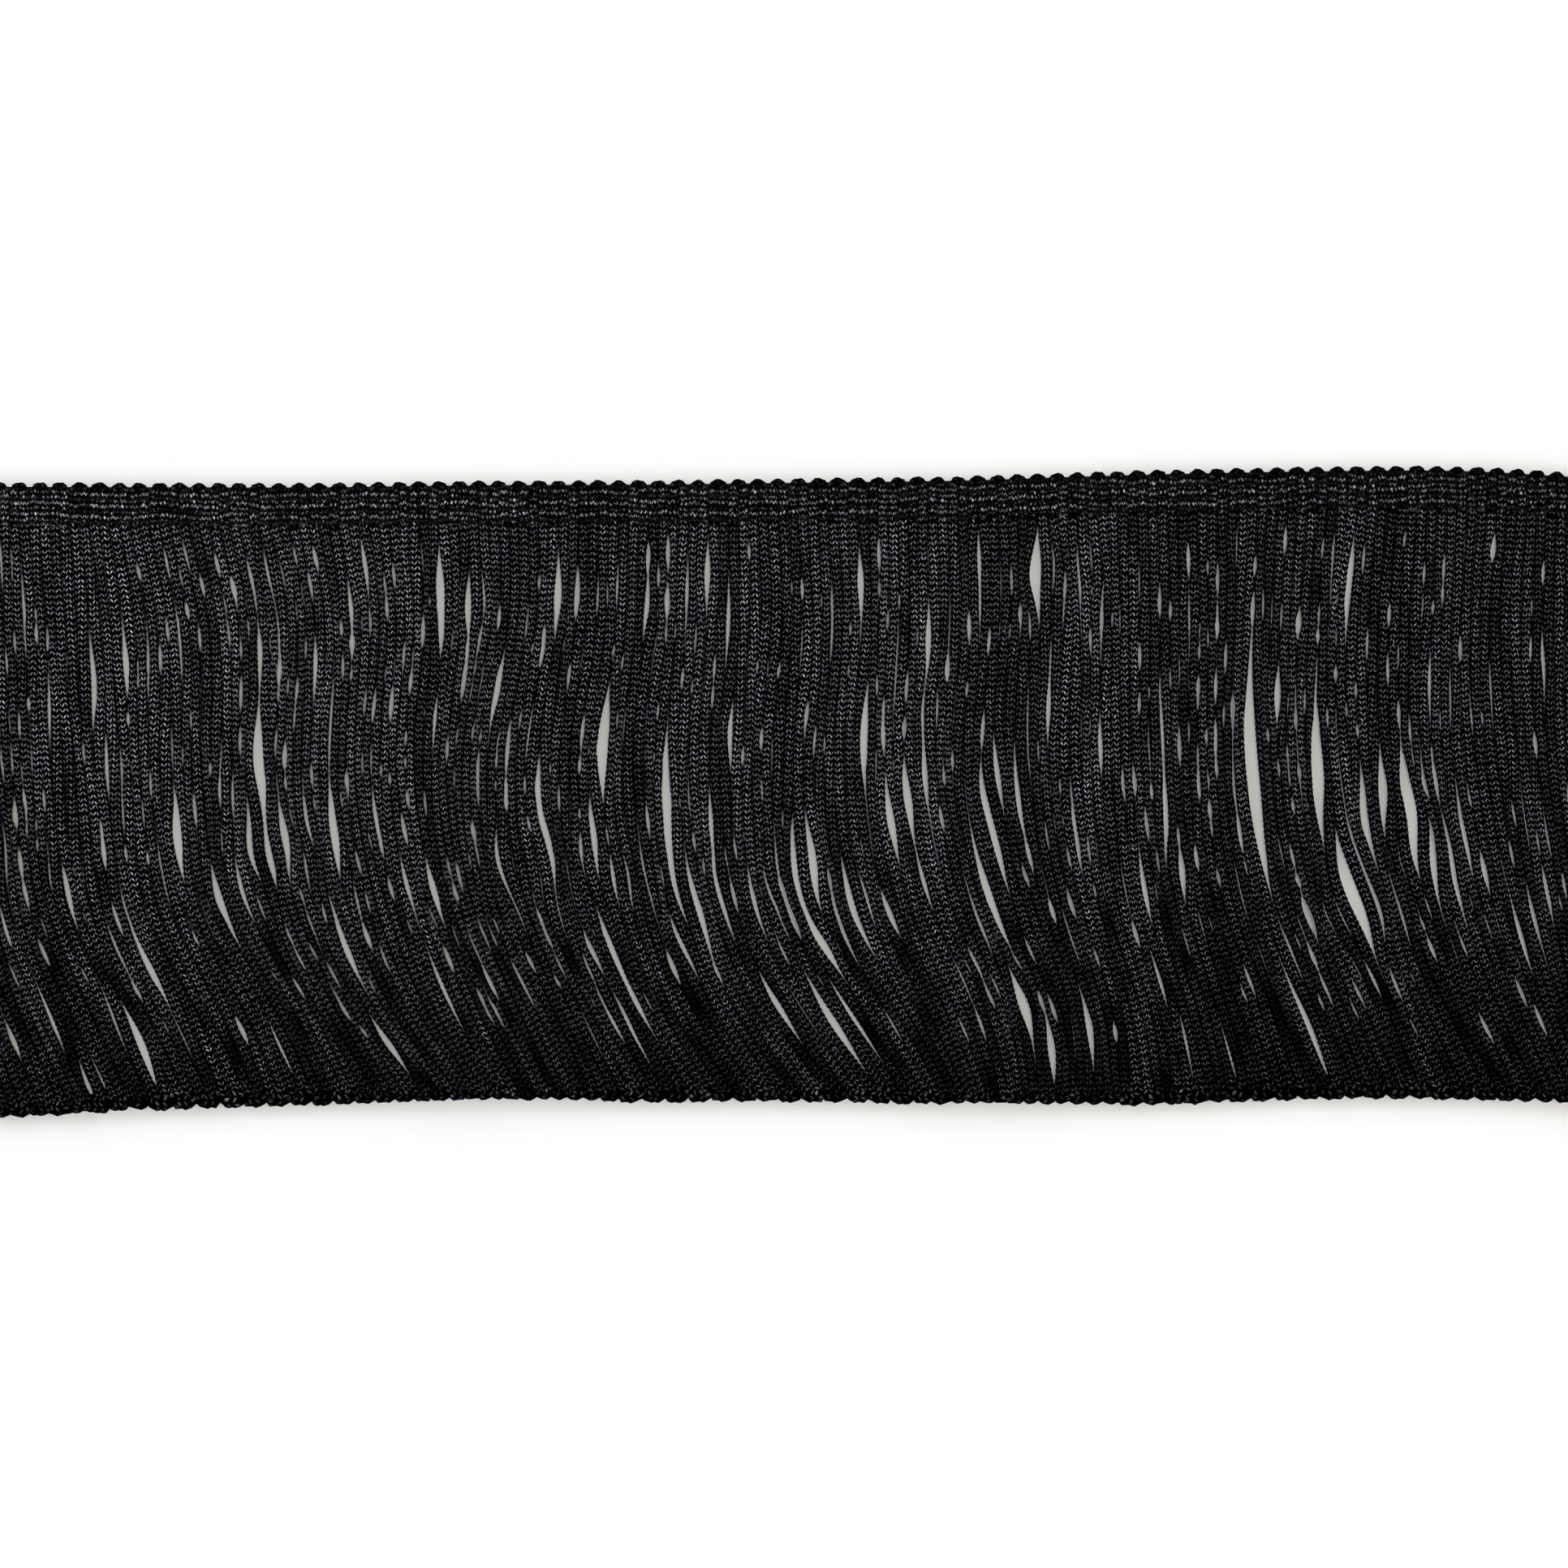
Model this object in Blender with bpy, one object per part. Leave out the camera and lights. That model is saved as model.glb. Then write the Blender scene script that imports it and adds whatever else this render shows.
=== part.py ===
"""Chainette fringe trim: a cut length of knitted heading with long cords, lying flat.

The heading runs along X and the cords fall towards -Y, on a surface at Z = 0.
The origin is on the heading's underside, in the middle of its length and of its height.
Sizes are in metres. The tables are in millimetres, for reading.
"""

import random
from collections import namedtuple
from math import pi, radians

import bmesh
import bpy
import numpy as np
from mathutils import Matrix, Vector

MM = 0.001
SEED = 7
SHARP_EDGE = radians(40)

# Driving sizes of the trim
SCALLOP_COUNT = 88
SCALLOP_PITCH = 4.8 * MM
CORDS_PER_SCALLOP = 2
HEADING_HEIGHT = 9.6 * MM
HEADING_THICKNESS = 1.8 * MM
CORD_WIDTH = 2.05 * MM
CORD_HEIGHT = 1.45 * MM
ROOT_STRIP_HEIGHT = 0.8 * MM
ROOT_STRIP_THICKNESS = 1.6 * MM
PIECE_GAP = 0.3 * MM

# Sizes that follow from them
CORD_COUNT = SCALLOP_COUNT * CORDS_PER_SCALLOP
CORD_PITCH = SCALLOP_PITCH / CORDS_PER_SCALLOP
TRIM_LENGTH = SCALLOP_COUNT * SCALLOP_PITCH
HEADING_TOP = HEADING_HEIGHT / 2
HEADING_FOOT = -HEADING_HEIGHT / 2
STRIP_TOP = HEADING_FOOT - PIECE_GAP
STRIP_FOOT = STRIP_TOP - ROOT_STRIP_HEIGHT

# Scallops along the heading's upper edge
CROWN_WIDTH = 3.8 * MM
CROWN_RISE = 1.0 * MM
CROWN_FLOOR = 0.2 * MM
CROWN_TOP = 1.2 * MM
CROWN_SIDES = 8
CROWN_TAPER = 0.75
CROWN_UNEVENNESS = 0.08

# Binding rows: chains of stitches in shallow grooves across the cords
BINDING_ROWS = 3
BINDING_PITCH = 2.8 * MM
BINDING_DROP = 0.65 * MM
BINDING_WIDTH = 0.9 * MM
BINDING_RISE = 0.25 * MM
GROOVE_DEPTH = 0.55 * MM
TIGHTER_ROW = 0.03 * MM
GROOVE_WIDTH = BINDING_WIDTH + 2 * PIECE_GAP
RIB_ROUND = 0.25 * MM

# Cords: levels down their length, and how they give way to each other
CORD_LEVELS = 10
ROOT_DEPTH = 0.6 * MM
ROOT_LIFT = 0.25 * MM
ROOT_WIDTH_SHARE = 0.85
TIP_WIDTH_SHARE = 0.8
TIP_UNEVENNESS = 0.5 * MM
CORD_CLEARANCE = 0.3 * MM
CLOSEST_CORDS = 1.6 * MM
GIVING_CORDS = 8
SQUEEZE_HEIGHT = 0.6
RIDGE_LEAN = 0.35
HEIGHT_UNEVENNESS = 0.12

PATH_STATIONS = 11
SQUARE_END = 1.0 * MM
DRIFT_DEPTHS = (0, 20, 65, 95, 120, 140)

# A row for each section of the trim: its station along X, how far the heading rises above
# the straight line, the sideways drift of the cords at five depths below the heading, and
# the level of the hem line. All in millimetres.
Section = namedtuple("Section", "station rise drift20 drift65 drift95 drift120 drift140 hem")
SECTIONS = (
    Section(-200, -0.8, 0.7, 4.8, 9.4, 19.4, 27.4, -148.0),
    Section(-175, -0.9, 0.9, 3.7, 7.4, 18.0, 26.5, -147.2),
    Section(-140, -1.0, 4.3, 5.8, 10.4, 24.3, 32.3, -145.0),
    Section(-100, -1.0, 3.3, 2.0, 7.4, 17.4, 31.3, -144.0),
    Section(-80, -0.7, 1.4, -1.0, 5.0, 15.0, 25.4, -143.8),
    Section(-60, -0.5, 0.3, -5.0, 0.3, 11.5, 20.5, -143.6),
    Section(-20, -0.3, -0.2, -3.3, 1.0, 11.0, 24.6, -143.4),
    Section(20, 0.2, 1.0, -0.7, 3.5, 16.8, 27.8, -143.5),
    Section(55, 0.7, 0.5, -0.8, 6.9, 16.8, 18.2, -144.4),
    Section(75, 1.4, 0.8, 0.8, 5.4, 13.5, 15.5, -144.3),
    Section(95, 2.0, 0.8, 1.2, 4.5, 12.5, 17.0, -144.0),
    Section(135, 2.8, -1.6, -2.0, 3.9, 13.9, 22.5, -142.5),
    Section(175, 2.8, -1.4, 0.2, 6.0, 14.5, 23.9, -142.9),
    Section(200, 1.4, -0.6, 0.2, 5.3, 11.9, 20.2, -144.2),
)

# A row for each large opening between two cords: its middle, its length down the cords
# and its widest span. All in millimetres.
Opening = namedtuple("Opening", "x y length span")
OPENINGS = (
    Opening(-164.0, -94.0, 15, 1.6),
    Opening(-157.6, -43.3, 29, 1.0),
    Opening(-146.7, -131.2, 22, 2.2),
    Opening(-138.2, -80.3, 23, 2.0),
    Opening(-118.5, -62.9, 31, 2.3),
    Opening(-116.7, -85.8, 14, 1.8),
    Opening(-99.7, -80.0, 23, 1.3),
    Opening(-86.3, -132.8, 14, 2.2),
    Opening(-72.8, -20.0, 15, 1.9),
    Opening(-66.2, -25.5, 15, 1.8),
    Opening(-48.8, -82.0, 20, 1.5),
    Opening(-35.8, -59.5, 30, 1.9),
    Opening(-20.6, -75.0, 46, 1.3),
    Opening(-12.9, -98.5, 29, 1.3),
    Opening(14.1, -88.3, 26, 1.5),
    Opening(17.8, -107.1, 16, 2.1),
    Opening(21.1, -127.5, 23, 2.0),
    Opening(27.0, -57.8, 25, 1.4),
    Opening(37.0, -71.9, 17, 1.8),
    Opening(67.2, -122.0, 14, 2.2),
    Opening(69.3, -18.2, 17, 3.0),
    Opening(103.6, -90.9, 14, 2.0),
    Opening(120.8, -67.9, 60, 2.2),
    Opening(137.6, -67.7, 35, 2.6),
    Opening(144.5, -24.3, 24, 1.2),
    Opening(144.7, -96.7, 32, 4.0),
    Opening(159.0, -77.9, 34, 2.6),
    Opening(164.9, -89.3, 19, 1.7),
)


# Curves through the tables

def column(name):
    return np.array([getattr(section, name) for section in SECTIONS]) * MM


def flowing(at, stations, values):
    """The smooth curve through values at stations, read at one place or many."""
    at = np.clip(at, stations[0], stations[-1])
    slopes = np.gradient(values, stations)
    k = np.clip(np.searchsorted(stations, at) - 1, 0, len(stations) - 2)
    span = stations[k + 1] - stations[k]
    t = (at - stations[k]) / span
    start = values[k] * (1 + 2 * t) * (1 - t) ** 2 + values[k + 1] * (3 - 2 * t) * t**2
    lean = slopes[k] * t * (1 - t) ** 2 - slopes[k + 1] * t**2 * (1 - t)
    return start + lean * span


def heading_rise(x):
    return flowing(x, column("station"), column("rise"))


def hem_level(x):
    return flowing(x, column("station"), column("hem"))


def drift(roots, depth):
    """How far the cords have moved sideways at a depth below the heading."""
    names = [f"drift{d}" for d in DRIFT_DEPTHS[1:]]
    stations = column("station")
    columns = [np.zeros(len(roots))]
    columns += [flowing(roots, stations, column(name)) for name in names]
    depths = np.array(DRIFT_DEPTHS) * MM
    table = np.array(columns)
    return np.array([flowing(depth, depths, table[:, i]) for i in range(len(roots))])


# Places of the cords

def kept_apart(places, least):
    """The nearest places to these with neighbours at least that far apart."""
    steps = np.arange(len(places)) * least
    blocks = []
    for value in places - steps:
        blocks.append([value, 1])
        while len(blocks) > 1 and blocks[-2][0] > blocks[-1][0]:
            value_b, count_b = blocks.pop()
            value_a, count_a = blocks.pop()
            count = count_a + count_b
            blocks.append([(value_a * count_a + value_b * count_b) / count, count])
    return np.concatenate([np.full(count, value) for value, count in blocks]) + steps


def opened(places, pair, span):
    """Parts the cords of a pair by a span, with their neighbours giving way less and less."""
    index = np.arange(len(places))
    left = np.clip(1 - (pair - index) / GIVING_CORDS, 0, 1) * (index <= pair)
    right = np.clip(1 - (index - pair - 1) / GIVING_CORDS, 0, 1) * (index > pair)
    return places + (right - left) * span / 2


def cord_roots():
    return (np.arange(CORD_COUNT) - (CORD_COUNT - 1) / 2) * CORD_PITCH


def opening_pairs(roots):
    """For each opening, the cord to its left and its depth below the heading."""
    found = []
    for opening in OPENINGS:
        x, y = opening.x * MM, opening.y * MM
        depth = STRIP_FOOT + float(heading_rise(x)) - y
        places = roots + drift(roots, depth)
        middles = (places[1:] + places[:-1]) / 2
        found.append((int(np.abs(middles - x).argmin()), depth))
    return found


def places_at(roots, depth, pairs):
    """X of every cord at a depth below the heading."""
    places = roots + drift(roots, depth)
    for opening, (pair, middle) in zip(OPENINGS, pairs):
        along = abs(depth - middle) / (opening.length * MM / 2)
        if along < 1:
            places = opened(places, pair, opening.span * MM * (1 - along**2))
    return kept_apart(places, CLOSEST_CORDS)


def cord_lines():
    """The X and Y of every cord at every level, as arrays of levels by cords."""
    roots = cord_roots()
    pairs = opening_pairs(roots)
    start = STRIP_FOOT + heading_rise(roots)
    full = float(np.mean(start - hem_level(roots)))
    shares = np.linspace(0, 1, CORD_LEVELS)
    xs = np.array([places_at(roots, share * full, pairs) for share in shares])
    ends = hem_level(xs[-1])
    ys = np.array([start + share * (ends - start) for share in shares])
    return xs, ys


# Blender helpers

def clear_scene():
    for obj in list(bpy.data.objects):
        bpy.data.objects.remove(obj)


def collection(name):
    made = bpy.data.collections.new(name)
    bpy.context.scene.collection.children.link(made)
    return made


def yarn_material(name, colour, roughness):
    material = bpy.data.materials.new(name)
    material.use_nodes = True
    shader = material.node_tree.nodes["Principled BSDF"]
    shader.inputs["Base Color"].default_value = (*colour, 1)
    shader.inputs["Roughness"].default_value = roughness
    shader.inputs["Metallic"].default_value = 0
    return material


def helper(obj, helpers):
    obj.hide_render = True
    obj.display_type = "WIRE"
    helpers.objects.link(obj)
    return obj


def profile_curve(name, outline, helpers):
    """A closed outline, given as Y and Z, that a path towards +X carries along."""
    data = bpy.data.curves.new(name, "CURVE")
    data.dimensions = "2D"
    spline = data.splines.new("POLY")
    spline.points.add(len(outline) - 1)
    for point, (y, z) in zip(spline.points, outline):
        point.co = (-y, z, 0, 1)
    spline.use_cyclic_u = True
    return helper(bpy.data.objects.new(name, data), helpers)


def heading_path():
    """Points along the heading, with a short straight run at each end that squares its cut."""
    half = TRIM_LENGTH / 2
    inner = np.linspace(-half + SQUARE_END, half - SQUARE_END, PATH_STATIONS)
    stations = [-half, *inner, half]
    rises = [heading_rise(inner[0]), *heading_rise(inner), heading_rise(inner[-1])]
    return zip(stations, rises)


def band_along_heading(name, outline, group, helpers):
    """A band with this cross-section, given as Y and Z, following the heading's rise."""
    data = bpy.data.curves.new(name, "CURVE")
    data.dimensions = "3D"
    data.twist_mode = "Z_UP"
    spline = data.splines.new("POLY")
    path = list(heading_path())
    spline.points.add(len(path) - 1)
    for point, (x, rise) in zip(spline.points, path):
        point.co = (x, rise, 0, 1)
    data.bevel_mode = "OBJECT"
    data.bevel_object = profile_curve(name + "_profile", outline, helpers)
    data.use_fill_caps = True
    band = bpy.data.objects.new(name, data)
    group.objects.link(band)
    return band


def shaded_round(mesh):
    mesh.shade_smooth()
    mesh.set_sharp_from_angle(angle=SHARP_EDGE)


def as_mesh(obj, name, material):
    """The object as a welded, closed mesh with its faces pointing out."""
    bpy.context.view_layer.update()
    graph = bpy.context.evaluated_depsgraph_get()
    mesh = bpy.data.meshes.new_from_object(obj.evaluated_get(graph))
    form = bmesh.new()
    form.from_mesh(mesh)
    bmesh.ops.remove_doubles(form, verts=form.verts, dist=0.001 * MM)
    bmesh.ops.recalc_face_normals(form, faces=form.faces)
    form.to_mesh(mesh)
    form.free()
    shaded_round(mesh)
    mesh.materials.clear()
    mesh.materials.append(material)
    group = obj.users_collection[0]
    matrix = obj.matrix_world.copy()
    bpy.data.objects.remove(obj)
    made = bpy.data.objects.new(name, mesh)
    made.matrix_world = matrix
    group.objects.link(made)
    return made


def joined_to(base, other):
    union = base.modifiers.new("join_" + other.name, "BOOLEAN")
    union.operation = "UNION"
    union.object = other
    union.solver = "EXACT"


# Pieces

def heading_outline():
    """Y and Z round the heading's section: a flat underside, and ribs between the grooves."""
    high = HEADING_THICKNESS
    outline = [(HEADING_FOOT, 0), (HEADING_TOP, 0)]
    outline += [(HEADING_TOP, high - RIB_ROUND), (HEADING_TOP - RIB_ROUND, high)]
    for row in range(BINDING_ROWS):
        middle, low = binding_level(row), groove_floor(row)
        edge = GROOVE_WIDTH / 2
        outline += [(middle + edge + RIB_ROUND, high), (middle + edge, high - RIB_ROUND)]
        outline += [(middle + edge, low), (middle - edge, low)]
        outline += [(middle - edge, high - RIB_ROUND), (middle - edge - RIB_ROUND, high)]
    outline += [(HEADING_FOOT + RIB_ROUND, high), (HEADING_FOOT, high - RIB_ROUND)]
    return outline


def binding_level(row):
    """Y of a binding row's middle, counted from the top row."""
    return ((BINDING_ROWS - 1) / 2 - row) * BINDING_PITCH - BINDING_DROP


def groove_floor(row):
    """Z of the groove under a binding row. Each row pulls a little tighter than the one above."""
    return HEADING_THICKNESS - GROOVE_DEPTH - row * TIGHTER_ROW


def make_crowns(helpers, material, chance):
    """The rounded turns of the cords, above the heading's upper edge."""
    form = bmesh.new()
    for index in range(SCALLOP_COUNT):
        x = (index - (SCALLOP_COUNT - 1) / 2) * SCALLOP_PITCH
        size = 1 + chance.uniform(-CROWN_UNEVENNESS, CROWN_UNEVENNESS)
        radius = CROWN_WIDTH / 2 * size
        y = HEADING_TOP + CROWN_RISE * size - radius + float(heading_rise(x))
        place = Vector((x, y, (CROWN_FLOOR + CROWN_TOP) / 2))
        turn = Matrix.Rotation(pi / CROWN_SIDES, 4, "Z")
        bmesh.ops.create_cone(
            form,
            cap_ends=True,
            segments=CROWN_SIDES,
            radius1=radius,
            radius2=radius * CROWN_TAPER,
            depth=CROWN_TOP - CROWN_FLOOR,
            matrix=Matrix.Translation(place) @ turn,
        )
    mesh = bpy.data.meshes.new("crowns")
    form.to_mesh(mesh)
    form.free()
    shaded_round(mesh)
    mesh.materials.append(material)
    return helper(bpy.data.objects.new("crowns", mesh), helpers)


def make_heading(group, helpers, material, chance):
    band = band_along_heading("heading_band", heading_outline(), group, helpers)
    heading = as_mesh(band, "heading", material)
    joined_to(heading, make_crowns(helpers, material, chance))
    return heading


def make_binding_row(row, group, helpers, material):
    """A low rounded ridge that lies in its groove, clear of the groove's walls."""
    floor = groove_floor(row) + PIECE_GAP
    shoulder, top = HEADING_THICKNESS, HEADING_THICKNESS + BINDING_RISE
    half, middle = BINDING_WIDTH / 2, binding_level(row)
    outline = [(middle - half, floor), (middle + half, floor)]
    outline += [(middle + half, shoulder), (middle + half / 2, top)]
    outline += [(middle - half / 2, top), (middle - half, shoulder)]
    name = f"binding_row_{row + 1}"
    return as_mesh(band_along_heading(name + "_band", outline, group, helpers), name, material)


def cord_sections(xs, ys, index, chance):
    """The three corners of one cord's section at each level: two on the surface and its ridge."""
    sections = []
    for level in range(CORD_LEVELS):
        row = xs[level]
        x, y = row[index], ys[level][index]
        room = min(
            x - row[index - 1] if index else CORD_PITCH,
            row[index + 1] - x if index < CORD_COUNT - 1 else CORD_PITCH,
        )
        width = min(CORD_WIDTH, room - CORD_CLEARANCE)
        height = CORD_HEIGHT + (CORD_WIDTH - width) * SQUEEZE_HEIGHT
        height *= 1 + chance.uniform(-HEIGHT_UNEVENNESS, HEIGHT_UNEVENNESS)
        lift = 0
        if level == 0:
            width, lift, y = width * ROOT_WIDTH_SHARE, ROOT_LIFT, y + ROOT_DEPTH
            height = ROOT_STRIP_THICKNESS - ROOT_LIFT
        if level == CORD_LEVELS - 1:
            width = width * TIP_WIDTH_SHARE
            y += chance.uniform(-TIP_UNEVENNESS, TIP_UNEVENNESS)
        before = xs[max(level - 1, 0)][index]
        lean = np.clip((x - before) * RIDGE_LEAN, -width / 4, width / 4)
        sections.append(
            [
                (x - width / 2, y, lift),
                (x + width / 2, y, lift),
                (x + lean, y, height),
            ]
        )
    return sections


def make_cords(helpers, material, chance):
    """Every cord as a three-sided strand, lofted through its own sections."""
    xs, ys = cord_lines()
    form = bmesh.new()
    for index in range(CORD_COUNT):
        rings = [
            [form.verts.new(corner) for corner in section]
            for section in cord_sections(xs, ys, index, chance)
        ]
        for upper, lower in zip(rings, rings[1:]):
            for side in range(3):
                after = (side + 1) % 3
                form.faces.new((upper[side], upper[after], lower[after], lower[side]))
        form.faces.new(rings[0])
        form.faces.new(rings[-1])
    bmesh.ops.recalc_face_normals(form, faces=form.faces)
    mesh = bpy.data.meshes.new("cords")
    form.to_mesh(mesh)
    form.free()
    mesh.materials.append(material)
    return helper(bpy.data.objects.new("cords", mesh), helpers)


def make_fringe(group, helpers, material, chance):
    """The root strip below the heading, with the cords fused into it."""
    outline = [(STRIP_FOOT, 0), (STRIP_TOP, 0)]
    outline += [(STRIP_TOP, ROOT_STRIP_THICKNESS), (STRIP_FOOT, ROOT_STRIP_THICKNESS)]
    band = band_along_heading("root_strip", outline, group, helpers)
    fringe = as_mesh(band, "fringe", material)
    joined_to(fringe, make_cords(helpers, material, chance))
    return fringe


def main():
    clear_scene()
    chance = random.Random(SEED)
    group = collection("chainette_fringe_trim")
    helpers = collection("helpers")
    cord_yarn = yarn_material("cord_yarn", (0.012, 0.012, 0.015), 0.45)
    binding_yarn = yarn_material("binding_yarn", (0.008, 0.008, 0.010), 0.6)
    make_heading(group, helpers, cord_yarn, chance)
    for row in range(BINDING_ROWS):
        make_binding_row(row, group, helpers, binding_yarn)
    make_fringe(group, helpers, cord_yarn, chance)


main()
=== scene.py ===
"""Black chainette fringe trim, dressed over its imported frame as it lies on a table.

The heading runs along X, the cords fall towards -Y and the table is at Z = 0.
Lengths are in metres, and in millimetres in the tables.
"""

import random
from collections import namedtuple
from math import cos, pi, radians, sin

import bpy
import numpy as np
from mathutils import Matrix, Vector


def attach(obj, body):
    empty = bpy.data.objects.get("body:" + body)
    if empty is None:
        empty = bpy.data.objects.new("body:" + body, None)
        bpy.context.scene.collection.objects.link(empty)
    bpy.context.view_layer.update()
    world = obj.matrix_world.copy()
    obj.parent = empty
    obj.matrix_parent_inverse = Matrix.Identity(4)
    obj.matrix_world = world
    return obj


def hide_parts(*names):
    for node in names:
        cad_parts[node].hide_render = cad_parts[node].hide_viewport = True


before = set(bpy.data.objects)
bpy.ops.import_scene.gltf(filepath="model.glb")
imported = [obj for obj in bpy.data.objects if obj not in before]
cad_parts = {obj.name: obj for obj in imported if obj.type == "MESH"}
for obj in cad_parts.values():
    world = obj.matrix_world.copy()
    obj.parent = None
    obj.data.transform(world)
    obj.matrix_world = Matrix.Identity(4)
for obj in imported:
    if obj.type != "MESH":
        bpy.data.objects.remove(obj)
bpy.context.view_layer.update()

bl_info = {
    "name": "Chainette fringe trim",
    "version": (1, 0, 0),
    "blender": (4, 5, 0),
    "location": "3D View > Sidebar > Fringe",
    "description": "A length of black knitted fringe trim, lying on a table",
    "category": "Add Mesh",
}

MM = 0.001

# The trim's own sizes, as in its solids
SCALLOP_COUNT = 88
SCALLOP_PITCH = 4.8 * MM
CORD_COUNT = 2 * SCALLOP_COUNT
CORD_PITCH = SCALLOP_PITCH / 2
TRIM_LENGTH = SCALLOP_COUNT * SCALLOP_PITCH
HEADING_TOP = 4.8 * MM
HEADING_FOOT = -4.8 * MM
BINDING_LEVELS = (2.15 * MM, -0.65 * MM, -3.45 * MM)

# A row for each section of the trim: its station along X, how far the heading rises above
# the straight line, the sideways drift of the cords at five depths below the heading, and
# the level of the hem line. All in millimetres.
Section = namedtuple("Section", "station rise drift20 drift65 drift95 drift120 drift140 hem")
SECTIONS = (
    Section(-200, -0.8, 0.7, 4.8, 9.4, 19.4, 27.4, -148.0),
    Section(-175, -0.9, 0.9, 3.7, 7.4, 18.0, 26.5, -147.2),
    Section(-140, -1.0, 4.3, 5.8, 10.4, 24.3, 32.3, -145.0),
    Section(-100, -1.0, 3.3, 2.0, 7.4, 17.4, 31.3, -144.0),
    Section(-80, -0.7, 1.4, -1.0, 5.0, 15.0, 25.4, -143.8),
    Section(-60, -0.5, 0.3, -5.0, 0.3, 11.5, 20.5, -143.6),
    Section(-20, -0.3, -0.2, -3.3, 1.0, 11.0, 24.6, -143.4),
    Section(20, 0.2, 1.0, -0.7, 3.5, 16.8, 27.8, -143.5),
    Section(55, 0.7, 0.5, -0.8, 6.9, 16.8, 18.2, -144.4),
    Section(75, 1.4, 0.8, 0.8, 5.4, 13.5, 15.5, -144.3),
    Section(95, 2.0, 0.8, 1.2, 4.5, 12.5, 17.0, -144.0),
    Section(135, 2.8, -1.6, -2.0, 3.9, 13.9, 22.5, -142.5),
    Section(175, 2.8, -1.4, 0.2, 6.0, 14.5, 23.9, -142.9),
    Section(200, 1.4, -0.6, 0.2, 5.3, 11.9, 20.2, -144.2),
)
DRIFT_DEPTHS = (0, 20, 65, 95, 120, 140)

# A row for each large slit between two cords: its middle, its length down the cords and
# its widest span along X. All in millimetres.
Slit = namedtuple("Slit", "x y length span")
SLITS = (
    Slit(-164, -94, 15, 1.7), Slit(-157, -43, 29, 1.5), Slit(-154, -63, 20, 1.3),
    Slit(-149, -38, 16, 1.7), Slit(-146, -131, 22, 2.2), Slit(-138, -80, 23, 2.0),
    Slit(-118, -63, 31, 2.2), Slit(-116, -86, 14, 1.9), Slit(-99, -80, 23, 1.7),
    Slit(-96, -109, 14, 1.5), Slit(-86, -132, 9, 2.6), Slit(-76, -94, 10, 1.9),
    Slit(-73, -20, 15, 2.0), Slit(-66, -25, 15, 1.8), Slit(-51, -70, 20, 1.5),
    Slit(-49, -82, 20, 1.6), Slit(-37, -82, 23, 1.6), Slit(-36, -59, 30, 2.4),
    Slit(-24, -25, 19, 1.1), Slit(-20, -75, 46, 1.9), Slit(-15, -108, 15, 1.5),
    Slit(-13, -98, 29, 1.4), Slit(-9, -17, 13, 1.7), Slit(-6, -29, 21, 1.1),
    Slit(-4, -56, 16, 1.5), Slit(11, -89, 29, 1.4), Slit(14, -88, 26, 2.1),
    Slit(18, -107, 16, 2.4), Slit(21, -127, 23, 2.0), Slit(24, -98, 27, 1.5),
    Slit(27, -57, 25, 1.7), Slit(26, -125, 22, 1.2), Slit(34, -79, 13, 2.0),
    Slit(37, -72, 17, 1.8), Slit(43, -34, 20, 1.2), Slit(58, -66, 17, 1.5),
    Slit(60, -85, 10, 1.9), Slit(67, -122, 14, 2.8), Slit(69, -18, 17, 3.2),
    Slit(73, -133, 13, 1.8), Slit(100, -77, 24, 1.1), Slit(103, -91, 11, 2.1),
    Slit(120, -68, 61, 2.5), Slit(128, -49, 10, 1.8), Slit(137, -68, 35, 2.6),
    Slit(144, -24, 24, 1.2), Slit(144, -97, 32, 3.8), Slit(153, -73, 19, 1.8),
    Slit(159, -78, 34, 2.8), Slit(164, -89, 19, 1.7),
)

# Small slits: where they lie along X, how far below the heading, and which share of them
# is spread evenly. The others lie where the cords start to sweep, as a mean and a spread.
# Lengths and spans are a mean and a spread of their logarithms. All in millimetres.
SLIT_TRIES = 20
SLIT_STATIONS = (-205, 220)
SLIT_DEPTHS = (4, 138)
SLITS_SPREAD = 0.8
SWEEP_DEPTHS = (98, 13)
SLIT_LENGTHS, LONGEST_SMALL = (2.5, 0.45), 36
SLIT_SPANS, WIDEST_SMALL = (-0.3, 0.45), 1.8
# The least room for a slit, as a share of the cords' pitch, and how blunt its ends are
SLIT_ROOM = 0.85
SLIT_ROUNDNESS = 1.2
# How far a slit reaches past its ends, in half lengths, and over how much of that it fades
SLIT_REACH, SLIT_FADE = 1.4, 0.4
HELD_BELOW_HEADING = 4 * MM
# To the right of this station and below this depth, this share of the small slits is shut
CLOSED_STATION, CLOSED_DEPTH, CLOSED_SLITS = 30 * MM, 100 * MM, 0.6

# Specks: short openings where two cords are a little thin. Lengths are in millimetres, and
# a level is one millimetre below the last.
SPECKS_TO_LEFT = 1.25
SPECK_LEVELS = (7, 125)
SPECK_HALF_LENGTHS = (2.2, 5.5)
SPECK_WIDTHS = (0.45, 0.85)
CLOSED_LEVEL, CLOSED_SPECKS = 100, 0.4

# Free cords
CORD_TOP = -4.6 * MM
CORD_DEPTH = 139 * MM
LEVEL_STEP = 1.0 * MM
CLOSEST_CORDS = 1.0 * MM
TOUCHING_CORDS = 2.6 * MM
WIDEST_TOUCH = 2.75 * MM
CORD_FILL = 1.17
THINNEST_CORD = 1.8 * MM
WIDEST_CORD = 3.1 * MM
LOOSE_BELOW = 15 * MM
SETTLING_ROUNDS = 6
SETTLING_BACK = 0.25
# How many cords on each side give way to a slit, and how many more for its span
GIVING_CORDS = 1.2
GIVING_A_SPAN = 1.0 / MM
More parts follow.
